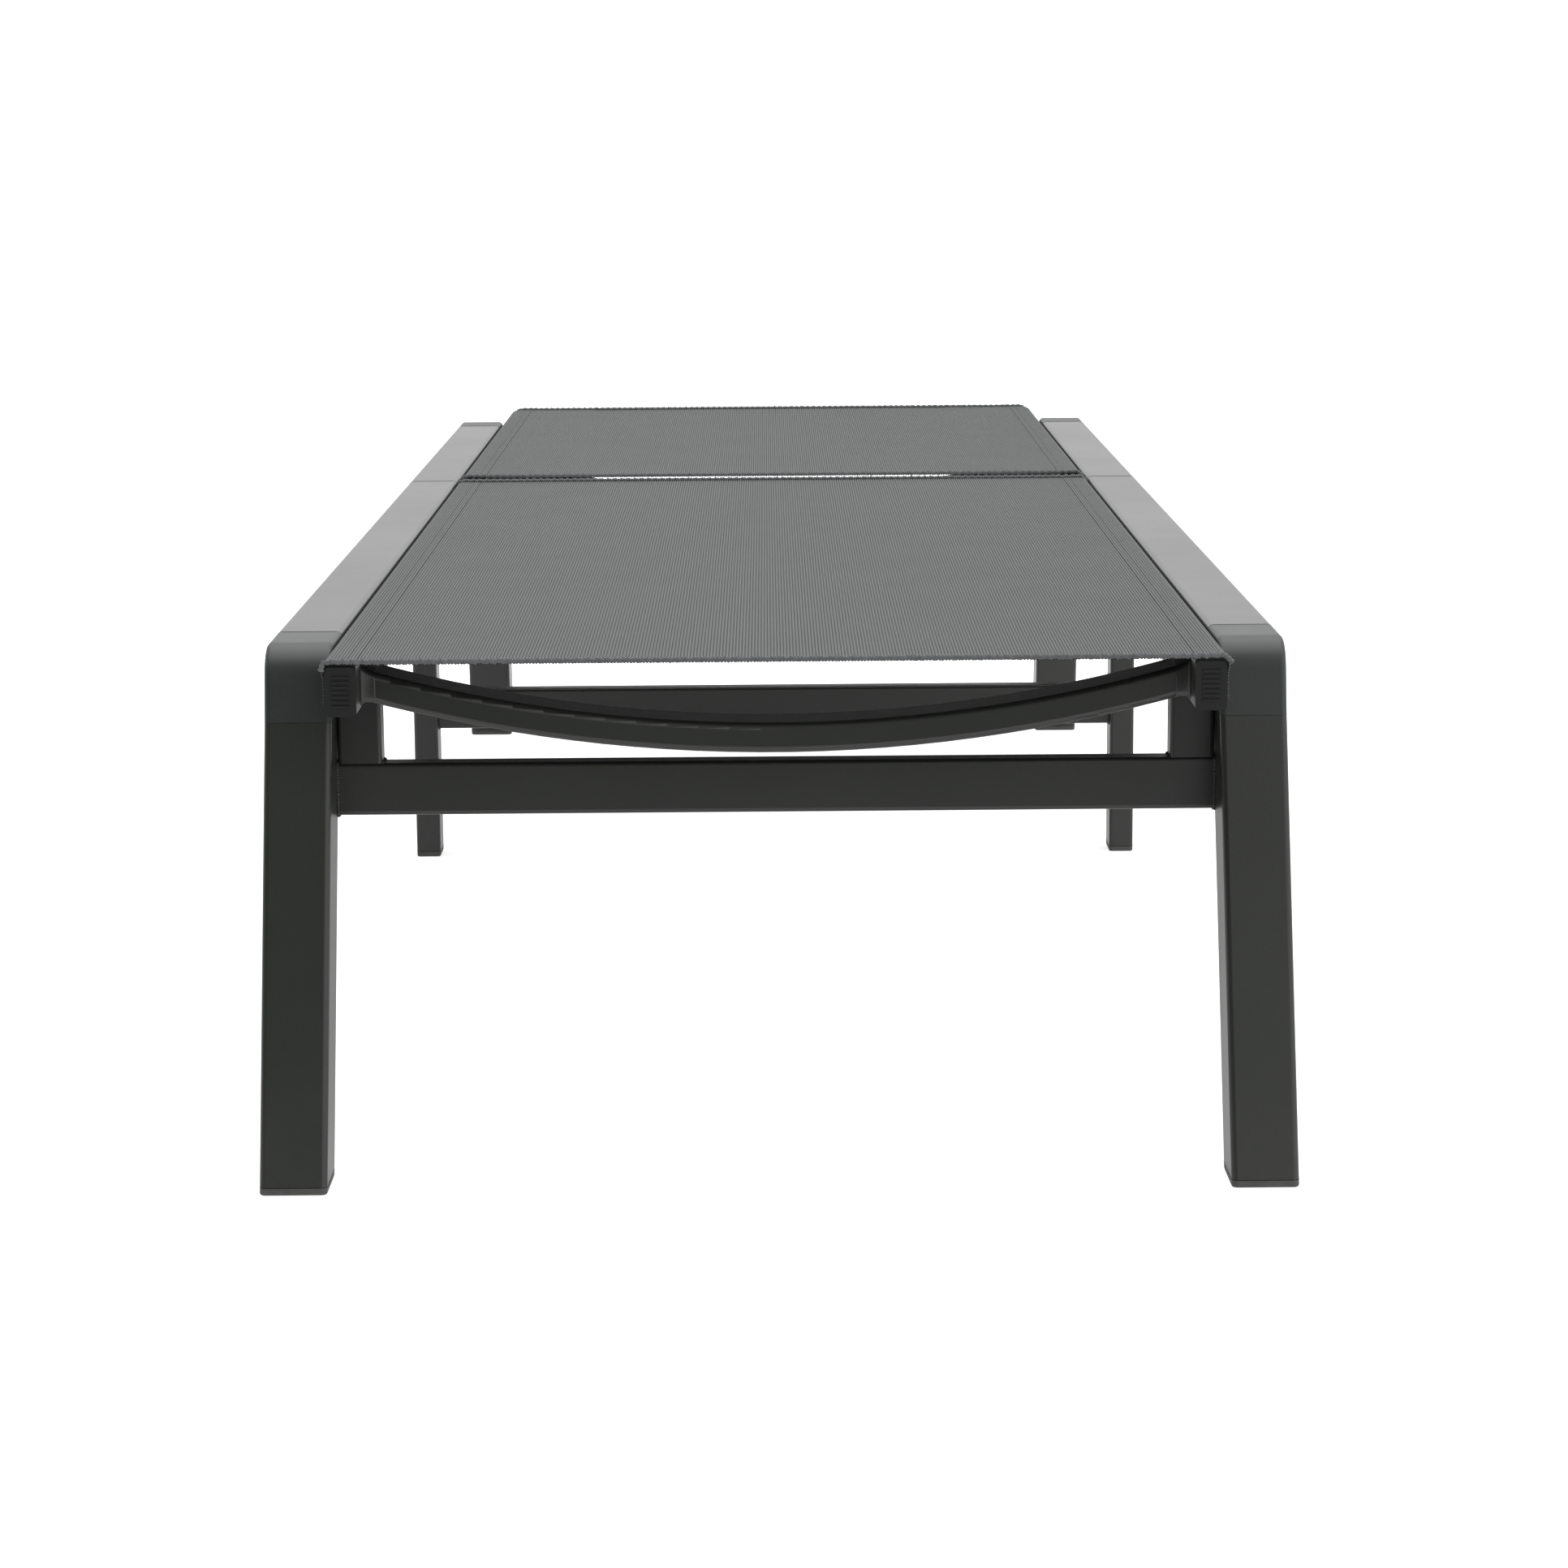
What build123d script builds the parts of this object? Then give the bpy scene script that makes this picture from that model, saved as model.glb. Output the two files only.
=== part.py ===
from build123d import *
from math import cos, radians, sin, tan
import os

# Reclining sun lounger: a welded and bolted tube frame on three pairs of legs, a fixed seat
# frame, and a back frame that hinges up on a toothed rack.
# Millimetres and degrees. +Y runs from the foot end to the head end, and left and right are as
# seen from the foot end, so the right side is at +X.

# Side frames
frame_width = 680.0
rail_top = 356.0
tube_width = 45.0
rail_height = 45.0
leg_depth = 48.0
tube_corner = 4.0
tube_wall = 2.0
foot_corner_y = -892.5
head_corner_y = 833.0
leg_lean = 12.3
foot_leg_splay = 0.8
elbow_reach = 67.9
elbow_drop = 50.0
elbow_bend = 24.0
elbow_wall = 3.5
rail_seam_y = 179.0
sleeve_length = 160.0
spigot_length = 22.0
spigot_corner = 2.5
spigot_root = 4.0
throat_radius = 3.0
sleeve_wall = 2.5
slip_fit = 0.2

# Middle legs and crossbars
middle_leg_width = 22.5
middle_leg_depth = 37.0
middle_leg_y = 184.5
middle_leg_corner = 3.0
middle_leg_wall = 1.8
bar_height = 37.4
end_bar_height = 35.4
bar_depth = 20.0
bar_wall = 1.8
bar_corner = 3.0
end_bar_z = 255.2
end_bar_setback = 40.0
middle_bar_z = 140.4
drain_hole_x = 275.0
drain_hole_r = 2.0
post_inner = 265.0

# Feet
foot_cap_height = 5.0
foot_spigot = 16.0
foot_spigot_corner = 1.5
foot_edge_round = 1.5
middle_foot_edge_round = 1.2

# Sling frames
sling_rail_inner = 271.4
sling_rail_width = 20.6
sling_rail_bottom = 320.0
sling_rail_height = 34.0
sling_rail_wall = 2.0
sling_rail_corner = 3.0
seat_front_y = -968.0
seat_rear_y = 175.3
back_near_y = 220.9
back_far_y = 970.5
end_cap_height = 32.5
end_cap_plate = 3.5
end_cap_plug = 20.0
end_cap_plug_corner = 1.4
end_cap_ribs = 7
rib_pitch = 3.2
rib_height = 1.5
rib_width = 11.4
rib_depth = 0.8
rear_plug_plate = 3.0
rear_plug_length = 12.0
rear_plug_setback = 4.0
rail_end_setback = 3.0
sling_half_width = 292.0
sling_thickness = 1.5
edge_rod_r = 2.5
edge_rod_gap = 0.2
seat_rod_front_gap = 26.0
seat_rod_rear_gap = 18.0
back_rod_near_gap = 12.0
back_rod_far_gap = 28.0

# Curved spreaders between the sling rails
spreader_height = 20.0
spreader_depth = 44.0
spreader_wall = 2.5
spreader_radius = 1008.0
spreader_edge_round = 4.5
front_spreader_y = -916.0
rear_spreader_y = 86.0
seat_spreader_z = 298.9
back_lower_spreader_y = 427.0
back_lower_spreader_z = 305.0
back_upper_spreader_y = 925.0

# Backrest hinge
hinge_y = 245.0
hinge_z = 338.0
hinge_bolt_r = 4.0
running_gap = 0.05
bush_r = 7.0
bracket_thickness = 5.0
bracket_height = 28.0
bracket_overlap = 62.0
bracket_seat_gap = 5.0
bracket_rear = 11.0
bracket_corner = 3.0
neck_top = 316.0
neck_bottom = 303.5
neck_slope = 12.0
eye_r = 13.0
side_gap = 0.3
nut_r = 6.5
nut_length = 8.0
hinge_bolt_tail = 238.0
hinge_bolt_grip = 16.8
bush_end_wall = 3.0

# Prop and rack
prop_pivot_reach = 255.0
prop_length = 262.0
prop_rest_angle = 6.1
prop_turn_ratio = 1.1
foot_bar_r = 8.0
foot_bar_half = 287.0
foot_bar_wall = 1.5
prop_arm_x = 250.0
prop_arm_thickness = 6.0
prop_arm_height = 26.0
pin_head_r = 8.0
pin_head_length = 5.0
foot_bar_end_wall = 3.0
rack_x = 279.0
rack_thickness = 6.0
rack_bottom = 268.0
rack_tip_gap = 0.6
rack_first_angle = 13.0
rack_last_angle = 66.5
rack_stops = (20.0, 35.0, 50.0, 65.0)
notch_r = 9.0
notch_length = 28.8
notch_tilt = -35.0
rack_edge_points = 9
hanger_y = (445.0, 690.0)
hanger_width = 22.0
hanger_plate = 3.0
hanger_outer_x = 330.0
hanger_web_x = 304.0

# Supports under the sling frames
support_plate = 6.0
support_half_length = 34.0
support_inset = 4.0
support_notch = 8.0
riser_gap = 6.0
pad_height = 3.0
pad_inset = 1.0
pad_length = 27.0
pad_corner = 2.0

# Bolts
bolt_r = 3.0
bolt_head_r = 5.5
bolt_head_height = 3.5
bolt_length = 12.0
bolt_hole_gap = 0.1

# Cutting tools overshoot a face by this much, and reach this far through one wall
over = 1.0
through = 5.0
thinnest_corner = 0.8

rail_x = (frame_width - tube_width) / 2
rail_inner_x = frame_width / 2 - tube_width
rail_bottom = rail_top - rail_height
leg_slope = tan(radians(leg_lean))
splay_slope = tan(radians(foot_leg_splay))
leg_section_depth = leg_depth / cos(radians(leg_lean))
elbow_seam_z = rail_top - elbow_drop
sling_rail_x = sling_rail_inner + sling_rail_width / 2
sling_rail_z = sling_rail_bottom + sling_rail_height / 2
sling_rail_top = sling_rail_bottom + sling_rail_height
middle_leg_x = (frame_width - middle_leg_width) / 2
joint_bolt_y = (rail_seam_y - 50.0, rail_seam_y + 50.0)
bracket_bolt_y = (seat_rear_y - 48.0, seat_rear_y - 18.0)


def block(x0, x1, y0, y1, z0, z1):
    size = Box(x1 - x0, y1 - y0, z1 - z0)
    return Pos((x0 + x1) / 2, (y0 + y1) / 2, (z0 + z1) / 2) * size


def rod_x(radius, x0, x1, y, z):
    plane = Plane(origin=(x0, y, z), x_dir=(0, 1, 0), z_dir=(1, 0, 0))
    return extrude(plane * Circle(radius), x1 - x0)


def rod_y(radius, x, y0, y1, z):
    plane = Plane(origin=(x, y0, z), x_dir=(1, 0, 0), z_dir=(0, 1, 0))
    return extrude(plane * Circle(radius), y1 - y0)


def rod_z(radius, x, y, z0, z1):
    return extrude(Pos(x, y, z0) * Circle(radius), z1 - z0)


def plug_y(x, z, width, height, corner, y0, y1):
    """Solid bar along Y with rounded corners; the ends may be given in either order."""
    low, high = sorted((y0, y1))
    plane = Plane(origin=(x, low, z), x_dir=(1, 0, 0), z_dir=(0, 1, 0))
    return extrude(plane * RectangleRounded(width, height, corner), high - low)


def tube_y(x, z, width, height, corner, wall, y0, y1):
    """Rectangular tube along Y."""
    ring = RectangleRounded(width, height, corner)
    ring -= RectangleRounded(width - 2 * wall, height - 2 * wall, max(corner - wall, thinnest_corner))
    plane = Plane(origin=(x, y0, z), x_dir=(1, 0, 0), z_dir=(0, 1, 0))
    return extrude(plane * ring, y1 - y0)


def tube_x(y, z, depth, height, corner, wall, half_length):
    """Rectangular tube along X, centred on the middle plane."""
    ring = RectangleRounded(depth, height, corner)
    ring -= RectangleRounded(depth - 2 * wall, height - 2 * wall, max(corner - wall, thinnest_corner))
    plane = Plane(origin=(-half_length, y, z), x_dir=(0, 1, 0), z_dir=(1, 0, 0))
    return extrude(plane * ring, 2 * half_length)


def leg_centre(end, z):
    """Centre of a leaning leg's level section at height z; end is -1 at the foot, 1 at the head."""
    corner_y = foot_corner_y if end < 0 else head_corner_y
    y = corner_y + end * ((rail_top - z) * leg_slope - leg_section_depth / 2)
    splay = splay_slope if end < 0 else 0.0
    x = rail_x + max(elbow_seam_z - z, 0.0) * splay
    return x, y


def leaning(end, inset, corner, z0, z1):
    """Solid prism that follows a leaning leg from z0 up to z1, inset from its outer faces."""
    x0, y0 = leg_centre(end, z0)
    x1, y1 = leg_centre(end, z1)
    face = RectangleRounded(tube_width - 2 * inset, leg_section_depth - 2 * inset, corner)
    face = Pos(x0, y0, z0) * face
    return Solid.extrude(face.face(), Vector(x1 - x0, y1 - y0, z1 - z0))


def leg(end):
    outer = leaning(end, 0, tube_corner, foot_cap_height, elbow_seam_z)
    bore = leaning(end, tube_wall, tube_corner - tube_wall, foot_cap_height, elbow_seam_z)
    return outer - bore


def foot_cap(end):
    base = leaning(end, 0, tube_corner, 0, foot_cap_height)
    base = fillet(base.faces().sort_by(Axis.Z)[0].edges(), foot_edge_round)
    inset = tube_wall + slip_fit
    spigot = leaning(end, inset, foot_spigot_corner, foot_cap_height, foot_cap_height + foot_spigot)
    return base + spigot


def elbow_outline(end, inset, extra):
    """Side outline of a corner casting in the YZ plane, grown by extra past both open ends."""
    corner_y = foot_corner_y if end < 0 else head_corner_y
    seam_y = corner_y - end * (elbow_reach + extra)
    top = rail_top - inset
    low = elbow_seam_z - extra
    outer_y = corner_y - end * inset
    inner_y = corner_y - end * (leg_section_depth - inset)
    under = rail_bottom + inset
    points = [
        (seam_y, top),
        (outer_y + end * inset * leg_slope, top),
        (outer_y + end * (rail_top - low) * leg_slope, low),
        (inner_y + end * (rail_top - low) * leg_slope, low),
        (inner_y + end * (rail_top - under) * leg_slope, under),
        (seam_y, under),
    ]
    outline = make_face(Plane.YZ * Polyline(*points, close=True))
    bend = outline.vertices().sort_by_distance((0, points[1][0], points[1][1]))[0]
    outline = fillet(bend, elbow_bend - inset)
    throat = outline.vertices().sort_by_distance((0, points[4][0], points[4][1]))[0]
    return fillet(throat, throat_radius + inset)


def elbow(end):
    """Hollow corner casting with a spigot into the rail and one into the leg."""
    corner_y = foot_corner_y if end < 0 else head_corner_y
    seam_y = corner_y - end * elbow_reach
    body = extrude(elbow_outline(end, 0, 0), tube_width / 2, both=True)
    long_edges = [
        edge
        for edge in body.edges()
        if abs(abs(edge.center().X) - tube_width / 2) < 0.01
        and abs(edge.center().Y - seam_y) > 0.01
        and abs(edge.center().Z - elbow_seam_z) > 0.01
    ]
    body = Pos(rail_x, 0, 0) * fillet(long_edges, tube_corner)
    fit = tube_wall + slip_fit
    rail_spigot = plug_y(rail_x, rail_top - rail_height / 2, tube_width - 2 * fit, rail_height - 2 * fit,
                         spigot_corner, seam_y + end * spigot_root, seam_y - end * spigot_length)
    leg_spigot = leaning(end, fit, foot_spigot_corner, elbow_seam_z - spigot_length,
                         elbow_seam_z + spigot_root - over)
    hollow = elbow_wall + 1.0
    cavity = extrude(elbow_outline(end, hollow, spigot_length + over), tube_width / 2 - hollow, both=True)
    return body + rail_spigot + leg_spigot - Pos(rail_x, 0, 0) * cavity


def side_rail(y0, y1):
    rail = tube_y(rail_x, rail_top - rail_height / 2, tube_width, rail_height, tube_corner, tube_wall, y0, y1)
    for y in joint_bolt_y:
        rail -= rod_z(bolt_r + bolt_hole_gap, rail_x, y, rail_bottom - over, rail_bottom + through)
    for y in hanger_y:
        rail -= rod_z(bolt_r + bolt_hole_gap, rail_x, y, rail_bottom - over, rail_bottom + through)
    return rail


def joint_sleeve():
    inset = tube_wall + slip_fit
    y0 = rail_seam_y - sleeve_length / 2
    sleeve = tube_y(rail_x, rail_top - rail_height / 2, tube_width - 2 * inset,
                    rail_height - 2 * inset, spigot_corner, sleeve_wall, y0, y0 + sleeve_length)
    for y in joint_bolt_y:
        sleeve -= rod_z(bolt_r + bolt_hole_gap, rail_x, y, rail_bottom, rail_bottom + inset + through)
    return sleeve


def middle_leg():
    bore = 2 * middle_leg_wall
    ring = RectangleRounded(middle_leg_width, middle_leg_depth, middle_leg_corner)
    ring -= RectangleRounded(middle_leg_width - bore, middle_leg_depth - bore,
                             middle_leg_corner - middle_leg_wall)
    top = rail_bottom - support_plate
    return extrude(Pos(middle_leg_x, middle_leg_y, foot_cap_height) * ring, top - foot_cap_height)


def middle_foot_cap():
    face = RectangleRounded(middle_leg_width, middle_leg_depth, middle_leg_corner)
    base = extrude(Pos(middle_leg_x, middle_leg_y, 0) * face, foot_cap_height)
    base = fillet(base.faces().sort_by(Axis.Z)[0].edges(), middle_foot_edge_round)
    inset = 2 * (middle_leg_wall + slip_fit)
    plug = RectangleRounded(middle_leg_width - inset, middle_leg_depth - inset, thinnest_corner)
    return base + extrude(Pos(middle_leg_x, middle_leg_y, foot_cap_height) * plug, foot_spigot)


def end_crossbar(end):
    """Crossbar between the foot or head legs, with a drain hole near each end."""
    y = end_bar_y(end)
    splay = splay_slope if end < 0 else 0.0
    half_length = rail_inner_x + splay * (elbow_seam_z - end_bar_z - end_bar_height / 2)
    bar = tube_x(y, end_bar_z, bar_depth, end_bar_height, bar_corner, bar_wall, half_length)
    for x in (-drain_hole_x, drain_hole_x):
        bar -= rod_z(drain_hole_r, x, y, end_bar_z - end_bar_height, end_bar_z)
    return bar


def end_bar_y(end):
    corner_y = foot_corner_y if end < 0 else head_corner_y
    outer_face = corner_y + end * ((rail_top - end_bar_z) * leg_slope - end_bar_setback)
    return outer_face - end * bar_depth / 2


def post(end):
    """Short upright from the crossbar to the underside of the sling rail."""
    y = end_bar_y(end)
    width = rail_inner_x - post_inner
    base = end_bar_z + end_bar_height / 2
    top = sling_rail_bottom if end < 0 else sling_rail_bottom - pad_height - side_gap
    ring = RectangleRounded(width, bar_depth, bar_corner)
    ring -= RectangleRounded(width - 2 * bar_wall, bar_depth - 2 * bar_wall, bar_corner - bar_wall)
    return extrude(Pos(post_inner + width / 2, y, base) * ring, top - base)


def rest_pad():
    y = end_bar_y(1)
    x0 = post_inner + pad_inset
    top = sling_rail_bottom - side_gap
    half_depth = bar_depth / 2 - pad_inset
    pad = block(x0, x0 + pad_length, y - half_depth, y + half_depth, top - pad_height, top)
    return fillet(pad.edges().filter_by(Axis.Z), pad_corner)


def middle_support():
    """Plate that ties the rail joint to the middle leg, with a riser under the seat rail."""
    y0 = middle_leg_y - support_half_length
    y1 = middle_leg_y + support_half_length
    low = rail_bottom - support_plate
    x0 = sling_rail_inner + support_inset
    notch_y = middle_leg_y - middle_leg_depth / 4
    plate = block(x0, frame_width / 2, y0, y1, low, rail_bottom)
    plate -= block(0, rail_inner_x + support_notch, notch_y, y1 + over, low - over, rail_bottom + over)
    riser_end = seat_rear_y - riser_gap
    riser = block(x0, rail_inner_x - support_inset, y0, riser_end, rail_bottom, sling_rail_bottom)
    return plate + riser


def sling_rail(y0, y1):
    return tube_y(sling_rail_x, sling_rail_z, sling_rail_width, sling_rail_height,
                  sling_rail_corner, sling_rail_wall, y0, y1)


def seat_rail():
    rail = sling_rail(seat_front_y + end_cap_plate, seat_rear_y - rear_plug_setback)
    x0 = sling_rail_inner - over
    for y in bracket_bolt_y:
        rail -= rod_x(bolt_r + bolt_hole_gap, x0, x0 + through, y, hinge_z)
    return rail


def back_rail():
    rail = sling_rail(back_near_y + rail_end_setback, back_far_y - end_cap_plate)
    x0 = sling_rail_inner - over
    x1 = sling_rail_inner + sling_rail_width + over
    rail -= rod_x(bush_r, x0, x1, hinge_y, hinge_z)
    rail -= rod_x(hinge_bolt_r, x0, x1, hinge_y + prop_pivot_reach, hinge_z)
    return rail


def end_cap(y, end):
    """Ribbed plastic cap in the end of a sling rail; y is its outer face."""
    inner_y = y - end * end_cap_plate
    cap_z = sling_rail_bottom + end_cap_height / 2
    plate = block(sling_rail_inner, sling_rail_inner + sling_rail_width,
                  *sorted((y - end * rib_depth, inner_y)),
                  sling_rail_bottom, sling_rail_bottom + end_cap_height)
    plate = fillet(plate.edges().filter_by(Axis.Y), sling_rail_corner)
    for index in range(end_cap_ribs):
        z = cap_z + (index - (end_cap_ribs - 1) / 2) * rib_pitch
        plate += block(sling_rail_x - rib_width / 2, sling_rail_x + rib_width / 2,
                       *sorted((y, inner_y)), z - rib_height / 2, z + rib_height / 2)
    inset = sling_rail_wall + slip_fit
    plug = plug_y(sling_rail_x, sling_rail_z, sling_rail_width - 2 * inset, sling_rail_height - 2 * inset,
                  end_cap_plug_corner, inner_y, inner_y - end * end_cap_plug)
    return plate + plug


def rear_plug():
    """Plain plug in the hinge end of a seat rail."""
    face_y = seat_rear_y - rear_plug_setback
    x1 = sling_rail_inner + sling_rail_width
    plate = block(sling_rail_inner, x1, face_y, face_y + rear_plug_plate, sling_rail_bottom, sling_rail_top)
    plate = fillet(plate.edges().filter_by(Axis.Y), sling_rail_corner)
    inset = sling_rail_wall + slip_fit
    plug = plug_y(sling_rail_x, sling_rail_z, sling_rail_width - 2 * inset, sling_rail_height - 2 * inset,
                  end_cap_plug_corner, face_y - rear_plug_length, face_y)
    for y in bracket_bolt_y:
        plug -= rod_x(bolt_r + 0.5, sling_rail_inner, x1, y, hinge_z)
    return plate + plug


def spreader(y, middle_z):
    """Flat tube bowed down between the sling rails; middle_z is its centre at mid span."""
    inner = spreader_radius - spreader_height
    centre_z = middle_z + spreader_height / 2 - spreader_height + spreader_radius
    half = sling_rail_inner

    def band(outer_r, inner_r, depth):
        ring = Circle(outer_r) - Circle(inner_r)
        plane = Plane(origin=(0, y + depth / 2, centre_z), x_dir=(1, 0, 0), z_dir=(0, -1, 0))
        hoop = extrude(plane * ring, depth)
        return hoop & block(-half, half, y - depth, y + depth, middle_z - 60, middle_z + 80)

    shell = band(spreader_radius, inner, spreader_depth)
    shell = fillet(shell.edges().filter_by(GeomType.CIRCLE), spreader_edge_round)
    bore = band(spreader_radius - spreader_wall, inner + spreader_wall, spreader_depth - 2 * spreader_wall)
    return shell - bore


def sling(y0, y1):
    top = sling_rail_top + sling_thickness
    return block(-sling_half_width, sling_half_width, y0, y1, sling_rail_top, top)


def edge_rod(y0, y1):
    inset = sling_rail_wall + edge_rod_r + edge_rod_gap
    x = sling_rail_inner + sling_rail_width - inset
    return rod_y(edge_rod_r, x, y0, y1, sling_rail_bottom + inset)


def hinge_bracket():
    """Swan-necked plate on the seat rail's inner face, with an eye for the backrest's pivot bolt.

    Its neck dips below the path that the near hem of the back sling follows round the pivot."""
    front = seat_rear_y - bracket_overlap
    rear = seat_rear_y + bracket_rear
    top = hinge_z + bracket_height / 2
    low = hinge_z - bracket_height / 2
    outer_x = sling_rail_inner - side_gap
    inner_x = outer_x - bracket_thickness
    outline = [
        (front, top),
        (rear, top),
        (rear + neck_slope, neck_top),
        (hinge_y - eye_r, neck_top),
        (hinge_y - eye_r, hinge_z),
        (hinge_y + eye_r, hinge_z),
        (hinge_y + eye_r, neck_bottom),
        (rear, neck_bottom),
        (rear - neck_slope, low),
        (front, low),
    ]
    face = make_face(Plane.YZ * Polyline(*outline, close=True))
    corners = [vertex for vertex in face.vertices() if abs(vertex.Z - hinge_z) > over]
    face = fillet(corners, bracket_corner)
    plate = Pos(inner_x, 0, 0) * extrude(face, bracket_thickness, dir=(1, 0, 0))
    plate += rod_x(eye_r, inner_x, outer_x, hinge_y, hinge_z)
    plate += block(inner_x, sling_rail_inner, front, seat_rear_y - bracket_seat_gap, low, top)
    plate -= rod_x(hinge_bolt_r, inner_x - over, outer_x + over, hinge_y, hinge_z)
    for y in bracket_bolt_y:
        plate -= rod_x(bolt_r + bolt_hole_gap, inner_x - over, sling_rail_inner + over, y, hinge_z)
    return plate


def pivot_bolt():
    """Hinge bolt fixed in the bracket: shank into the backrest's bush, nut on the inner side."""
    plate_face = sling_rail_inner - side_gap - bracket_thickness
    shank = rod_x(hinge_bolt_r, hinge_bolt_tail, sling_rail_inner + hinge_bolt_grip, hinge_y, hinge_z)
    plane = Plane(origin=(plate_face - nut_length, hinge_y, hinge_z), x_dir=(0, 1, 0), z_dir=(1, 0, 0))
    nut = extrude(plane * RegularPolygon(nut_r, 6), nut_length)
    return shank + nut


def pivot_bush():
    """Flangeless bush in the backrest rail, closed at its outer end."""
    x1 = sling_rail_inner + sling_rail_width
    bush = rod_x(bush_r, sling_rail_inner, x1, hinge_y, hinge_z)
    bush -= rod_x(hinge_bolt_r + running_gap, sling_rail_inner - over, x1 - bush_end_wall, hinge_y, hinge_z)
    return bush


def prop_point(angle):
    """Centre of the prop's foot bar, (y, z), with the backrest raised by angle degrees."""
    back = radians(angle)
    prop = radians(prop_rest_angle + prop_turn_ratio * angle)
    y = hinge_y + prop_pivot_reach * cos(back) + prop_length * cos(prop)
    z = hinge_z + prop_pivot_reach * sin(back) - prop_length * sin(prop)
    return y, z


def prop_arm():
    """Flat bar from the prop's pivot to its foot bar."""
    pivot_y = hinge_y + prop_pivot_reach
    foot_y, foot_z = prop_point(0)
    x0 = prop_arm_x
    x1 = prop_arm_x + prop_arm_thickness
    plane = Plane(origin=(x0, pivot_y, hinge_z), x_dir=(0, 1, 0), z_dir=(1, 0, 0))
    bar = Pos(prop_length / 2, 0) * SlotOverall(prop_length + prop_arm_height, prop_arm_height)
    bar = Rot(0, 0, -prop_rest_angle) * bar
    arm = extrude(plane * bar, prop_arm_thickness)
    arm -= rod_x(hinge_bolt_r + running_gap, x0 - over, x1 + over, pivot_y, hinge_z)
    arm -= rod_x(foot_bar_r, x0 - over, x1 + over, foot_y, foot_z)
    return arm


def prop_pin():
    """Shouldered pin fixed in the backrest rail, on which the prop arm turns."""
    pivot_y = hinge_y + prop_pivot_reach
    arm_inner = prop_arm_x - side_gap
    arm_outer = prop_arm_x + prop_arm_thickness + side_gap
    pin = rod_x(hinge_bolt_r, arm_inner - over, sling_rail_inner + sling_rail_width, pivot_y, hinge_z)
    pin += rod_x(pin_head_r, arm_inner - pin_head_length, arm_inner, pivot_y, hinge_z)
    pin += rod_x(pin_head_r, arm_outer, sling_rail_inner, pivot_y, hinge_z)
    return pin


def foot_bar():
    y, z = prop_point(0)
    bar = rod_x(foot_bar_r, -foot_bar_half, foot_bar_half, y, z)
    core = foot_bar_half - foot_bar_end_wall
    return bar - rod_x(foot_bar_r - foot_bar_wall, -core, core, y, z)


def rack_plate():
    """Toothed plate: its tooth tips follow just below the sweep of the prop's foot bar."""
    step = (rack_last_angle - rack_first_angle) / (rack_edge_points - 1)
    tips = [prop_point(rack_first_angle + step * index) for index in range(rack_edge_points)]
    drop = foot_bar_r + rack_tip_gap
    tips = [(y, z - drop) for y, z in tips]
    edge = Spline(*tips)
    sides = Polyline(tips[-1], (tips[-1][0], rack_bottom), (tips[0][0], rack_bottom), tips[0])
    outline = make_face(edge + sides)
    for angle in rack_stops:
        y, z = prop_point(angle)
        outline -= Pos(y, z - drop) * SlotOverall(notch_length, notch_r * 2, rotation=notch_tilt)
    plane = Plane(origin=(rack_x, 0, 0), x_dir=(0, 1, 0), z_dir=(1, 0, 0))
    return extrude(plane * outline, rack_thickness)


def rack_hanger(y):
    """Bent strap from the rail's underside to a shelf under the rack."""
    y0 = y - hanger_width / 2
    y1 = y + hanger_width / 2
    low = rack_bottom - hanger_plate
    web_outer = hanger_web_x + hanger_plate
    flange = block(hanger_web_x, hanger_outer_x, y0, y1, rail_bottom - hanger_plate, rail_bottom)
    web = block(hanger_web_x, web_outer, y0, y1, low, rail_bottom)
    shelf = block(rack_x, web_outer, y0, y1, low, rack_bottom)
    strap = flange + web + shelf
    return strap - rod_z(bolt_r + bolt_hole_gap, rail_x, y, rail_bottom - through, rail_bottom + over)


def bolt_up(x, y, seat_z):
    """Hexagon bolt pointing up, its head below seat_z."""
    head = extrude(Pos(x, y, seat_z - bolt_head_height) * RegularPolygon(bolt_head_r, 6), bolt_head_height)
    return head + rod_z(bolt_r, x, y, seat_z, seat_z + bolt_length)


def bolt_out(y, z, seat_x):
    """Hexagon bolt pointing outwards along X, its head inboard of seat_x."""
    plane = Plane(origin=(seat_x - bolt_head_height, y, z), x_dir=(0, 1, 0), z_dir=(1, 0, 0))
    head = extrude(plane * RegularPolygon(bolt_head_r, 6), bolt_head_height)
    return head + rod_x(bolt_r, seat_x, seat_x + bolt_length, y, z)


def frame_bolts():
    bolts = [bolt_up(rail_x, y, rail_bottom) for y in joint_bolt_y]
    bolts += [bolt_up(rail_x, y, rail_bottom - hanger_plate) for y in hanger_y]
    bolts += [bolt_out(y, hinge_z, sling_rail_inner - side_gap - bracket_thickness) for y in bracket_bolt_y]
    return bolts


def mirrored(shape):
    return mirror(shape, about=Plane.YZ)


def both_sides(shapes):
    """One group of separate solids: the given right-hand ones and their mirror images."""
    solids = [solid for shape in shapes for solid in shape.solids()]
    return Compound(children=solids + [mirrored(solid) for solid in solids])


def paired(name, shape):
    return {name + "_right": shape, name + "_left": mirrored(shape)}


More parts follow.
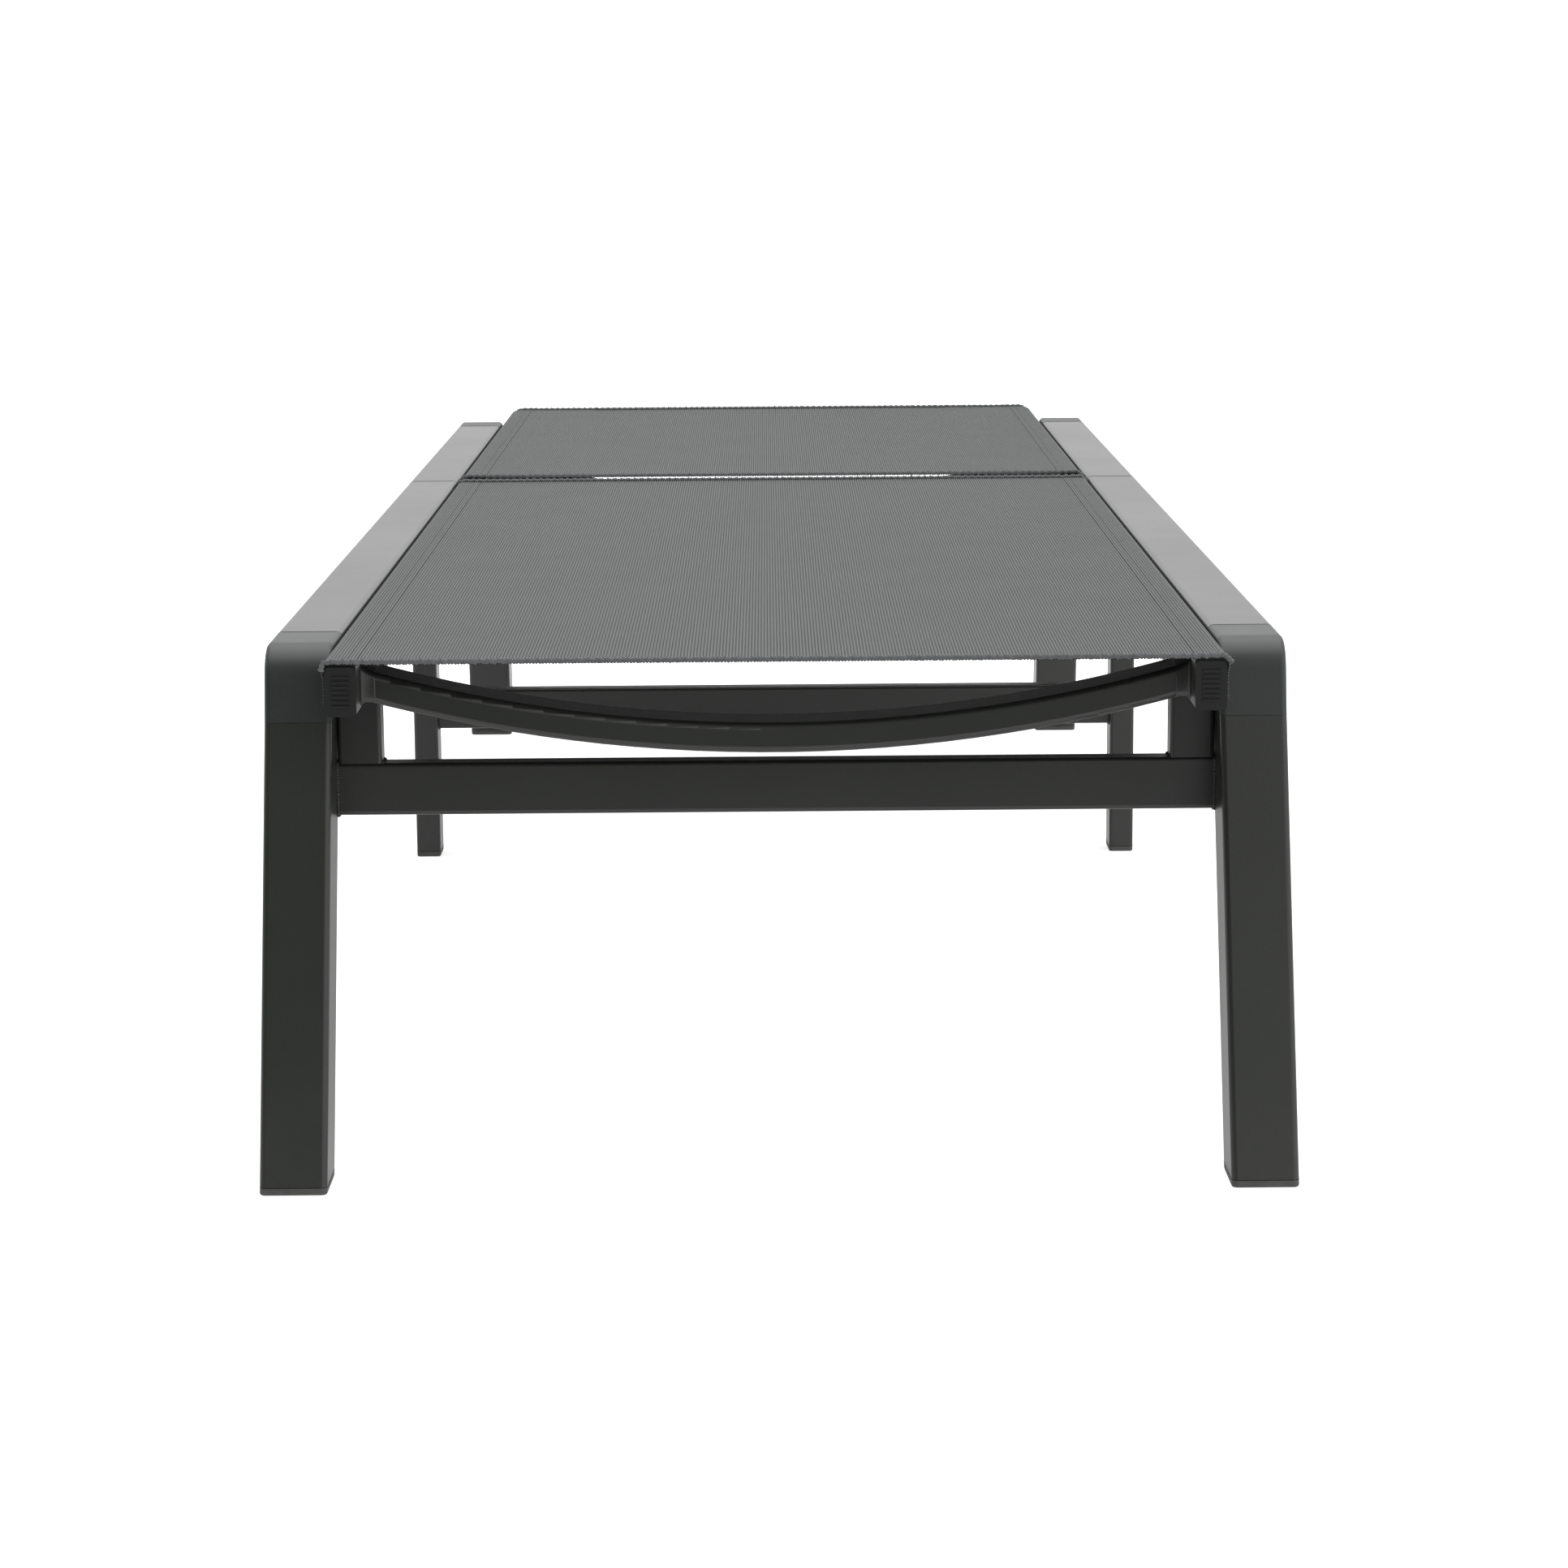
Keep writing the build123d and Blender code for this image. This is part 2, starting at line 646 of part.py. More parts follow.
def build():
    nodes = {}
    foot_seam = foot_corner_y + elbow_reach
    head_seam = head_corner_y - elbow_reach
    nodes |= paired("front_leg", leg(-1))
    nodes |= paired("foot_elbow", elbow(-1))
    nodes |= paired("front_rail", side_rail(foot_seam, rail_seam_y))
    nodes |= paired("joint_sleeve", joint_sleeve())
    nodes |= paired("rear_rail", side_rail(rail_seam_y, head_seam))
    nodes |= paired("head_elbow", elbow(1))
    nodes |= paired("rear_leg", leg(1))
    nodes |= paired("middle_leg", middle_leg())
    nodes |= paired("front_foot_cap", foot_cap(-1))
    nodes |= paired("middle_foot_cap", middle_foot_cap())
    nodes |= paired("rear_foot_cap", foot_cap(1))
    nodes["front_crossbar"] = end_crossbar(-1)
    nodes |= paired("front_post", post(-1))
    nodes["middle_crossbar"] = tube_x(middle_leg_y, middle_bar_z, bar_depth, bar_height, bar_corner, bar_wall,
                                      frame_width / 2 - middle_leg_width)
    nodes["rear_crossbar"] = end_crossbar(1)
    nodes |= paired("rear_post", post(1))
    nodes["rest_pads"] = both_sides([rest_pad()])
    nodes |= paired("middle_support", middle_support())
    nodes |= paired("seat_rail", seat_rail())
    nodes["seat_front_spreader"] = spreader(front_spreader_y, seat_spreader_z)
    nodes["seat_rear_spreader"] = spreader(rear_spreader_y, seat_spreader_z)
    nodes["seat_sling"] = sling(seat_front_y, seat_rear_y)
    seat_rod = edge_rod(seat_front_y + seat_rod_front_gap, seat_rear_y - seat_rod_rear_gap)
    nodes["seat_edge_rods"] = both_sides([seat_rod])
    nodes |= paired("seat_end_cap", end_cap(seat_front_y, -1))
    nodes["seat_rear_plugs"] = both_sides([rear_plug()])
    nodes |= paired("hinge_bracket", hinge_bracket())
    nodes["pivot_bolts"] = both_sides([pivot_bolt()])
    nodes |= paired("rack_plate", rack_plate())
    nodes["rack_hangers"] = both_sides([rack_hanger(y) for y in hanger_y])
    nodes["frame_bolts"] = both_sides(frame_bolts())
    nodes |= paired("back_rail", back_rail())
    nodes["back_lower_spreader"] = spreader(back_lower_spreader_y, back_lower_spreader_z)
    nodes["back_upper_spreader"] = spreader(back_upper_spreader_y, seat_spreader_z)
    nodes["back_sling"] = sling(back_near_y, back_far_y)
    back_rod = edge_rod(hinge_y + back_rod_near_gap, back_far_y - back_rod_far_gap)
    nodes["back_edge_rods"] = both_sides([back_rod])
    nodes["back_end_caps"] = both_sides([end_cap(back_far_y, 1)])
    nodes["back_pivot_bushes"] = both_sides([pivot_bush()])
    nodes |= paired("prop_arm", prop_arm())
    nodes["prop_foot_bar"] = foot_bar()
    nodes["prop_pivot_pins"] = both_sides([prop_pin()])
    return nodes


os.makedirs("parts", exist_ok=True)
for name, shape in build().items():
    export_step(shape, f"parts/{name}.step")
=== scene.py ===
import math

import bmesh
import bpy
from mathutils import Euler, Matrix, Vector


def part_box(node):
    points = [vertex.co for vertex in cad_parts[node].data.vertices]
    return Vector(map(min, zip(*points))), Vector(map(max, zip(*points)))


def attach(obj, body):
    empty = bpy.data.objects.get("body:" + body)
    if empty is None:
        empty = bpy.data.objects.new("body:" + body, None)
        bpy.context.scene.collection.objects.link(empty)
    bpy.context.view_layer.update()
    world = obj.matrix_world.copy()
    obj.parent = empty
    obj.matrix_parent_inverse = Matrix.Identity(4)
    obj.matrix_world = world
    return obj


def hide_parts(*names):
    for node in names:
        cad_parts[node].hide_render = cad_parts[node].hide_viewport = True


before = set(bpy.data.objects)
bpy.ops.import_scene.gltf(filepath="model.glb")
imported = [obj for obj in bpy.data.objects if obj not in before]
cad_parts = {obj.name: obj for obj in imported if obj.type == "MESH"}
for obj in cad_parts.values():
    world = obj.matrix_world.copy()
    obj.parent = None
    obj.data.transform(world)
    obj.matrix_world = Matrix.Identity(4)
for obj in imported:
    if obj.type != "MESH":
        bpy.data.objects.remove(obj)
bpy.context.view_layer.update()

# Reclining sun lounger: powder-coated tube frame, two taut mesh slings, ribbed end caps.
# Metres; +Y runs from the foot end to the head end, Z is up.

scene = bpy.context.scene


def linkPiece(name, mesh):
    piece = bpy.data.objects.new(name, mesh)
    scene.collection.objects.link(piece)
    return piece


def smoothFaces(mesh):
    mesh.polygons.foreach_set("use_smooth", [True] * len(mesh.polygons))


# Studio
studio = {
    "cameraPlace": (-0.0043, -3.4396, 0.724),
    "cameraDown": 10.32,      # degrees below level
    "cameraTurn": 0.211,      # degrees towards +X
    "cameraRoll": 0.42,       # degrees, the right side of the view rides higher
    "lens": 88.85,
    "sensor": 36.0,
    "farClip": 200.0,
    "skyTowards": (0.22, 0.90, 0.42),     # the sky is brightest this way
    "skyFrom": -0.55,
    "skyTo": 0.30,
    "skyBright": 1.20,
    "skyDark": 0.13,
    "sideTowards": (0.62, -0.74, 0.26),   # soft panel out to the front right
    "sideFrom": 0.68,
    "sideTo": 1.0,
    "sideGlow": 1.10,
    "backdrop": 1.05,
    "overhead": 150.0,
    "overheadSize": 5.0,
    "overheadPlace": (0.4, 0.2, 4.0),
    "floorHalf": 30.0,
    "floorFront": -1.75,      # near edge of the floor sheet
    "floorDrop": 0.0005,
    "floorGrey": 0.55,
    "floorRoughness": 0.9,
    "floorGlow": 0.85,        # as the camera sees it
    "floorBounce": 0.42,      # as the lounger sees it
}
white = (1.0, 1.0, 1.0, 1.0)


def buildCamera():
    camera = bpy.data.objects.new("studioCamera", bpy.data.cameras.new("studioCamera"))
    scene.collection.objects.link(camera)
    camera.data.lens = studio["lens"]
    camera.data.sensor_width = studio["sensor"]
    camera.data.clip_end = studio["farClip"]
    camera.location = studio["cameraPlace"]
    tilt = math.radians(90.0 - studio["cameraDown"])
    look = Euler((tilt, 0.0, -math.radians(studio["cameraTurn"])), "XYZ")
    roll = Euler((0.0, 0.0, -math.radians(studio["cameraRoll"])), "XYZ")
    camera.rotation_euler = (look.to_matrix() @ roll.to_matrix()).to_euler("XYZ")
    scene.camera = camera


def directionGlow(tree, place, towards, bounds, strengths):
    aim = tree.nodes.new("ShaderNodeVectorMath")
    aim.operation = "DOT_PRODUCT"
    aim.inputs[1].default_value = towards
    tree.links.new(place, aim.inputs[0])
    ramp = tree.nodes.new("ShaderNodeMapRange")
    ramp.interpolation_type = "SMOOTHSTEP"
    ramp.inputs["From Min"].default_value = bounds[0]
    ramp.inputs["From Max"].default_value = bounds[1]
    ramp.inputs["To Min"].default_value = strengths[0]
    ramp.inputs["To Max"].default_value = strengths[1]
    tree.links.new(aim.outputs["Value"], ramp.inputs["Value"])
    return ramp.outputs["Result"]


def buildWorld():
    world = bpy.data.worlds.new("studioWorld")
    scene.world = world
    world.use_nodes = True
    tree = world.node_tree
    nodes, links = tree.nodes, tree.links
    nodes.clear()
    output = nodes.new("ShaderNodeOutputWorld")
    place = nodes.new("ShaderNodeTexCoord").outputs["Generated"]
    sky = directionGlow(tree, place, studio["skyTowards"], (studio["skyFrom"], studio["skyTo"]),
                        (studio["skyDark"], studio["skyBright"]))
    side = directionGlow(tree, place, studio["sideTowards"], (studio["sideFrom"], studio["sideTo"]),
                         (0.0, studio["sideGlow"]))
    total = nodes.new("ShaderNodeMath")
    total.operation = "ADD"
    links.new(sky, total.inputs[0])
    links.new(side, total.inputs[1])
    lit = nodes.new("ShaderNodeBackground")
    lit.inputs["Color"].default_value = white
    links.new(total.outputs["Value"], lit.inputs["Strength"])
    backdrop = nodes.new("ShaderNodeBackground")
    backdrop.inputs["Color"].default_value = white
    backdrop.inputs["Strength"].default_value = studio["backdrop"]
    path = nodes.new("ShaderNodeLightPath")
    pick = nodes.new("ShaderNodeMixShader")
    links.new(path.outputs["Is Camera Ray"], pick.inputs["Fac"])
    links.new(lit.outputs["Background"], pick.inputs[1])
    links.new(backdrop.outputs["Background"], pick.inputs[2])
    links.new(pick.outputs["Shader"], output.inputs["Surface"])


def buildLights():
    data = bpy.data.lights.new("overheadPanel", "AREA")
    data.shape = "SQUARE"
    data.size = studio["overheadSize"]
    data.energy = studio["overhead"]
    panel = bpy.data.objects.new("overheadPanel", data)
    panel.location = studio["overheadPlace"]
    scene.collection.objects.link(panel)


def buildFloor():
    half, front = studio["floorHalf"], studio["floorFront"]
    corners = [(-half, front, 0), (half, front, 0), (half, half, 0), (-half, half, 0)]
    mesh = bpy.data.meshes.new("studioFloor")
    mesh.from_pydata(corners, [], [(0, 1, 2, 3)])
    floor = linkPiece("studioFloor", mesh)
    floor.location.z = -studio["floorDrop"]
    material = bpy.data.materials.new("studioFloorPaint")
    material.use_nodes = True
    tree = material.node_tree
    shader = tree.nodes["Principled BSDF"]
    grey = studio["floorGrey"]
    shader.inputs["Base Color"].default_value = (grey, grey, grey, 1.0)
    shader.inputs["Emission Color"].default_value = white
    path = tree.nodes.new("ShaderNodeLightPath")
    glow = tree.nodes.new("ShaderNodeMapRange")
    glow.inputs["To Min"].default_value = studio["floorBounce"]
    glow.inputs["To Max"].default_value = studio["floorGlow"]
    tree.links.new(path.outputs["Is Camera Ray"], glow.inputs["Value"])
    tree.links.new(glow.outputs["Result"], shader.inputs["Emission Strength"])
    shader.inputs["Roughness"].default_value = studio["floorRoughness"]
    shader.inputs["Specular IOR Level"].default_value = 0.0
    mesh.materials.append(material)


buildCamera()
buildWorld()
buildLights()
buildFloor()
scene.view_settings.view_transform = "Standard"
print("studio ready")


# Shader groups
def newGroup(name, inputs, outputs):
    group = bpy.data.node_groups.new(name, "ShaderNodeTree")
    for label, kind, value in inputs:
        socket = group.interface.new_socket(label, in_out="INPUT", socket_type=kind)
        if value is not None:
            socket.default_value = value
    for label, kind in outputs:
        group.interface.new_socket(label, in_out="OUTPUT", socket_type=kind)
    start = group.nodes.new("NodeGroupInput")
    end = group.nodes.new("NodeGroupOutput")
    return group, start, end


floatKind = "NodeSocketFloat"
colorKind = "NodeSocketColor"
vectorKind = "NodeSocketVector"


def mathNode(tree, operation, *values):
    node = tree.nodes.new("ShaderNodeMath")
    node.operation = operation
    for index, value in enumerate(values):
        if isinstance(value, (int, float)):
            node.inputs[index].default_value = value
        else:
            tree.links.new(value, node.inputs[index])
    return node.outputs["Value"]


def noiseNode(tree, vector, scale, detail, roughness=0.5):
    node = tree.nodes.new("ShaderNodeTexNoise")
    node.inputs["Detail"].default_value = detail
    node.inputs["Roughness"].default_value = roughness
    tree.links.new(vector, node.inputs["Vector"])
    if isinstance(scale, (int, float)):
        node.inputs["Scale"].default_value = scale
    else:
        tree.links.new(scale, node.inputs["Scale"])
    return node.outputs["Fac"]


def mixColor(tree, factor, first, second):
    node = tree.nodes.new("ShaderNodeMix")
    node.data_type = "RGBA"
    tree.links.new(factor, node.inputs["Factor"])
    for value, socket in ((first, node.inputs[6]), (second, node.inputs[7])):
        if isinstance(value, tuple):
            socket.default_value = (*value, 1.0)
        else:
            tree.links.new(value, socket)
    return node.outputs[2]


grainShare = 0.25             # of the colour that follows the fine grain, not the clouds


def buildCoatGroup():
    group, start, end = newGroup(
        "coatGrain",
        [("Place", vectorKind, None), ("Dark", colorKind, None), ("Light", colorKind, None),
         ("Grain", floatKind, 900.0), ("Cloud", floatKind, 9.0), ("Roughness", floatKind, 0.4),
         ("Spread", floatKind, 0.08)],
        [("Color", colorKind), ("Roughness", floatKind), ("Height", floatKind)])
    place = start.outputs["Place"]
    grain = noiseNode(group, place, start.outputs["Grain"], 2.0)
    cloud = noiseNode(group, place, start.outputs["Cloud"], 5.0, 0.6)
    clouds = mathNode(group, "MULTIPLY", cloud, 1.0 - grainShare)
    grains = mathNode(group, "MULTIPLY", grain, grainShare)
    blend = mathNode(group, "ADD", clouds, grains)
    color = mixColor(group, blend, start.outputs["Dark"], start.outputs["Light"])
    group.links.new(color, end.inputs["Color"])
    shift = mathNode(group, "MULTIPLY", mathNode(group, "SUBTRACT", cloud, 0.5), start.outputs["Spread"])
    group.links.new(mathNode(group, "ADD", start.outputs["Roughness"], shift), end.inputs["Roughness"])
    group.links.new(grain, end.inputs["Height"])
    return group


dustLook = {"color": (0.16, 0.155, 0.145), "reach": 0.09, "speckScale": 60.0}


def buildDustGroup():
    group, start, end = newGroup(
        "lowDust",
        [("Place", vectorKind, None), ("Color", colorKind, None), ("Dust", colorKind, None),
         ("Reach", floatKind, 0.05), ("Amount", floatKind, 0.4)],
        [("Color", colorKind)])
    split = group.nodes.new("ShaderNodeSeparateXYZ")
    group.links.new(start.outputs["Place"], split.inputs["Vector"])
    lift = mathNode(group, "DIVIDE", split.outputs["Z"], start.outputs["Reach"])
    near = mathNode(group, "SUBTRACT", 1.0, lift)
    speck = noiseNode(group, start.outputs["Place"], dustLook["speckScale"], 6.0, 0.7)
    mask = mathNode(group, "MULTIPLY", mathNode(group, "MAXIMUM", near, 0.0), speck)
    mask = mathNode(group, "MINIMUM", mathNode(group, "MULTIPLY", mask, start.outputs["Amount"]), 1.0)
    color = mixColor(group, mask, start.outputs["Color"], start.outputs["Dust"])
    group.links.new(color, end.inputs["Color"])
    return group


# Weave colour shares: rib and weft paint shade into the valleys between the ribs; fibre and cloud are
# the yarn's own uneven tone
weaveShares = {
    "weft": 0.35,             # how far the weft cuts into each rib
    "body": 0.98,
    "fibre": 0.22,
    "cloud": 0.20,
    "base": -0.17,
    "wear": 0.12,
    "wearBase": -0.06,
    "fibreHeight": 0.25,
    "fibreScale": 2400.0,
    "cloudScale": 14.0,
}


def waveNode(tree, turns):
    wave = mathNode(tree, "COSINE", mathNode(tree, "MULTIPLY", turns, 2.0 * math.pi))
    return mathNode(tree, "MULTIPLY_ADD", wave, 0.5, 0.5)


def buildWeaveGroup():
    group, start, end = newGroup(
        "slingWeave",
        [("Cloth", vectorKind, None), ("Valley Shade", colorKind, None), ("Yarn", colorKind, None),
         ("Rib Pitch", floatKind, 0.0021), ("Weft Pitch", floatKind, 0.0013),
         ("Roughness", floatKind, 0.6)],
        [("Color", colorKind), ("Roughness", floatKind), ("Height", floatKind)])
    w = weaveShares
    cloth = start.outputs["Cloth"]
    split = group.nodes.new("ShaderNodeSeparateXYZ")
    group.links.new(cloth, split.inputs["Vector"])
    across = mathNode(group, "DIVIDE", split.outputs["X"], start.outputs["Rib Pitch"])
    along = mathNode(group, "DIVIDE", split.outputs["Y"], start.outputs["Weft Pitch"])
    rib = waveNode(group, across)
    ribNumber = mathNode(group, "FLOOR", mathNode(group, "ADD", across, 0.5))
    stagger = mathNode(group, "MULTIPLY", ribNumber, 0.5)
    weft = waveNode(group, mathNode(group, "ADD", along, stagger))
    fibre = noiseNode(group, cloth, w["fibreScale"], 2.0)
    cloud = noiseNode(group, cloth, w["cloudScale"], 5.0, 0.65)
    # Painted shade: the valleys between ribs and the dips under the weft crossings are mixed towards a
    # near-black colour that stands in for their shade
    pressed = mathNode(group, "MULTIPLY_ADD", weft, w["weft"], 1.0 - w["weft"])
    body = mathNode(group, "MULTIPLY", rib, pressed)
    bright = mathNode(group, "MULTIPLY", body, w["body"])
    patchy = mathNode(group, "MULTIPLY_ADD", cloud, w["cloud"], w["base"])
    shade = mathNode(group, "MULTIPLY_ADD", fibre, w["fibre"], bright)
    shade = mathNode(group, "ADD", shade, patchy)
    color = mixColor(group, shade, start.outputs["Valley Shade"], start.outputs["Yarn"])
    group.links.new(color, end.inputs["Color"])
    smooth = mathNode(group, "ADD", start.outputs["Roughness"], w["wearBase"])
    group.links.new(mathNode(group, "MULTIPLY_ADD", fibre, w["wear"], smooth), end.inputs["Roughness"])
    group.links.new(mathNode(group, "MULTIPLY_ADD", fibre, w["fibreHeight"], body), end.inputs["Height"])
    return group


coatGroup = buildCoatGroup()
dustGroup = buildDustGroup()
weaveGroup = buildWeaveGroup()


def useGroup(tree, group, values):
    node = tree.nodes.new("ShaderNodeGroup")
    node.node_tree = group
    for label, value in values.items():
        if isinstance(value, tuple):
            node.inputs[label].default_value = (*value, 1.0)
        elif isinstance(value, (int, float)):
            node.inputs[label].default_value = value
        else:
            tree.links.new(value, node.inputs[label])
    return node


def newMaterial(name):
    material = bpy.data.materials.new(name)
    material.use_nodes = True
    tree = material.node_tree
    return material, tree, tree.nodes["Principled BSDF"]


def addBump(tree, shader, height, strength, distance):
    bump = tree.nodes.new("ShaderNodeBump")
    bump.inputs["Strength"].default_value = strength
    bump.inputs["Distance"].default_value = distance
    tree.links.new(height, bump.inputs["Height"])
    tree.links.new(bump.outputs["Normal"], shader.inputs["Normal"])


def coatedMaterial(name, look):
    material, tree, shader = newMaterial(name)
    place = tree.nodes.new("ShaderNodeTexCoord").outputs["Object"]
    coat = useGroup(tree, coatGroup, {
        "Place": place, "Dark": look["dark"], "Light": look["light"], "Grain": look["grain"],
        "Cloud": look["cloud"], "Roughness": look["roughness"], "Spread": look["spread"]})
    dust = useGroup(tree, dustGroup, {
        "Place": place, "Color": coat.outputs["Color"], "Dust": dustLook["color"],
        "Reach": dustLook["reach"], "Amount": look["dust"]})
    tree.links.new(dust.outputs["Color"], shader.inputs["Base Color"])
    tree.links.new(coat.outputs["Roughness"], shader.inputs["Roughness"])
    shader.inputs["Metallic"].default_value = look["metal"]
    shader.inputs["Specular IOR Level"].default_value = look["specular"]
    addBump(tree, shader, coat.outputs["Height"], look["bump"], look["bumpDepth"])
    return material


finishLooks = {
    "frame_paint": {
        "dark": (0.0150, 0.0168, 0.0145), "light": (0.0248, 0.0275, 0.0240),
        "grain": 950.0, "cloud": 7.0, "roughness": 0.30, "spread": 0.08, "dust": 0.06,
        "metal": 0.0, "specular": 0.5, "bump": 0.25, "bumpDepth": 0.00015},
    "elbow_paint": {
        "dark": (0.0145, 0.0172, 0.0165), "light": (0.0255, 0.0300, 0.0292),
        "grain": 700.0, "cloud": 16.0, "roughness": 0.44, "spread": 0.12, "dust": 0.1,
        "metal": 0.0, "specular": 0.5, "bump": 0.30, "bumpDepth": 0.0002},
    "sleeve_aluminium": {
        "dark": (0.52, 0.52, 0.53), "light": (0.66, 0.66, 0.67),
        "grain": 400.0, "cloud": 20.0, "roughness": 0.38, "spread": 0.1, "dust": 0.0,
        "metal": 1.0, "specular": 0.5, "bump": 0.1, "bumpDepth": 0.0001},
    "cap_plastic": {
        "dark": (0.006, 0.007, 0.006), "light": (0.012, 0.014, 0.012),
        "grain": 1500.0, "cloud": 30.0, "roughness": 0.46, "spread": 0.1, "dust": 0.1,
        "metal": 0.0, "specular": 0.35, "bump": 0.4, "bumpDepth": 0.0001},
    "foot_plastic": {
        "dark": (0.020, 0.021, 0.021), "light": (0.034, 0.036, 0.036),
        "grain": 1300.0, "cloud": 30.0, "roughness": 0.5, "spread": 0.1, "dust": 0.5,
        "metal": 0.0, "specular": 0.5, "bump": 0.4, "bumpDepth": 0.0001},
    "edge_rod_plastic": {
        "dark": (0.60, 0.60, 0.58), "light": (0.72, 0.72, 0.70),
        "grain": 900.0, "cloud": 20.0, "roughness": 0.45, "spread": 0.1, "dust": 0.0,
        "metal": 0.0, "specular": 0.5, "bump": 0.1, "bumpDepth": 0.0001},
    "zinc_steel": {
        "dark": (0.34, 0.34, 0.35), "light": (0.50, 0.50, 0.50),
        "grain": 1200.0, "cloud": 60.0, "roughness": 0.36, "spread": 0.18, "dust": 0.0,
        "metal": 1.0, "specular": 0.5, "bump": 0.2, "bumpDepth": 0.0001},
    "pad_rubber": {
        "dark": (0.012, 0.012, 0.012), "light": (0.022, 0.022, 0.022),
        "grain": 1100.0, "cloud": 30.0, "roughness": 0.75, "spread": 0.1, "dust": 0.2,
        "metal": 0.0, "specular": 0.4, "bump": 0.5, "bumpDepth": 0.0001},
    "bush_nylon": {
        "dark": (0.62, 0.61, 0.57), "light": (0.74, 0.73, 0.69),
        "grain": 900.0, "cloud": 30.0, "roughness": 0.5, "spread": 0.1, "dust": 0.0,
        "metal": 0.0, "specular": 0.5, "bump": 0.1, "bumpDepth": 0.0001},
    "seam_shadow": {
        "dark": (0.004, 0.004, 0.004), "light": (0.010, 0.010, 0.010),
        "grain": 1500.0, "cloud": 50.0, "roughness": 0.7, "spread": 0.1, "dust": 0.0,
        "metal": 0.0, "specular": 0.2, "bump": 0.2, "bumpDepth": 0.0001},
    "stitch_thread": {
        "dark": (0.012, 0.013, 0.013), "light": (0.034, 0.036, 0.036),
        "grain": 3000.0, "cloud": 200.0, "roughness": 0.7, "spread": 0.1, "dust": 0.0,
        "metal": 0.0, "specular": 0.3, "bump": 0.4, "bumpDepth": 0.0001},
    "hem_binding": {
        "dark": (0.050, 0.052, 0.053), "light": (0.190, 0.194, 0.200),
        "grain": 2600.0, "cloud": 260.0, "roughness": 0.72, "spread": 0.1, "dust": 0.0,
        "metal": 0.0, "specular": 0.3, "bump": 0.5, "bumpDepth": 0.0001},
}
finishes = {name: coatedMaterial(name, look) for name, look in finishLooks.items()}

# The first colour is painted shade for the gaps between the ribs; yarn is the cloth's own colour
weaveLook = {
    "valley": (0.003, 0.0035, 0.0035),
    "yarn": (0.099, 0.106, 0.103),
    "ribPitch": 0.0021,
    "weftPitch": 0.0013,
    "roughness": 0.66,
    "specular": 0.40,
    "bump": 0.6,
    "bumpDepth": 0.00025,
}


def buildWeaveMaterial():
    material, tree, shader = newMaterial("sling_mesh")
    cloth = tree.nodes.new("ShaderNodeUVMap")
    cloth.uv_map = "cloth"
    weave = useGroup(tree, weaveGroup, {
        "Cloth": cloth.outputs["UV"], "Valley Shade": weaveLook["valley"], "Yarn": weaveLook["yarn"],
        "Rib Pitch": weaveLook["ribPitch"], "Weft Pitch": weaveLook["weftPitch"],
        "Roughness": weaveLook["roughness"]})
    tree.links.new(weave.outputs["Color"], shader.inputs["Base Color"])
    tree.links.new(weave.outputs["Roughness"], shader.inputs["Roughness"])
    shader.inputs["Specular IOR Level"].default_value = weaveLook["specular"]
    addBump(tree, shader, weave.outputs["Height"], weaveLook["bump"], weaveLook["bumpDepth"])
    return material


weaveFinish = buildWeaveMaterial()

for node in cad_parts.values():
    for item in node.material_slots:
        slotName = item.material.name.split(".")[0]
        item.material = finishes.get(slotName, weaveFinish)
print("materials ready")


# Beads, stitches and rope turns: one kind of Geometry Nodes tree lays them along a path
coreSides = 10
unevenSeed = 7


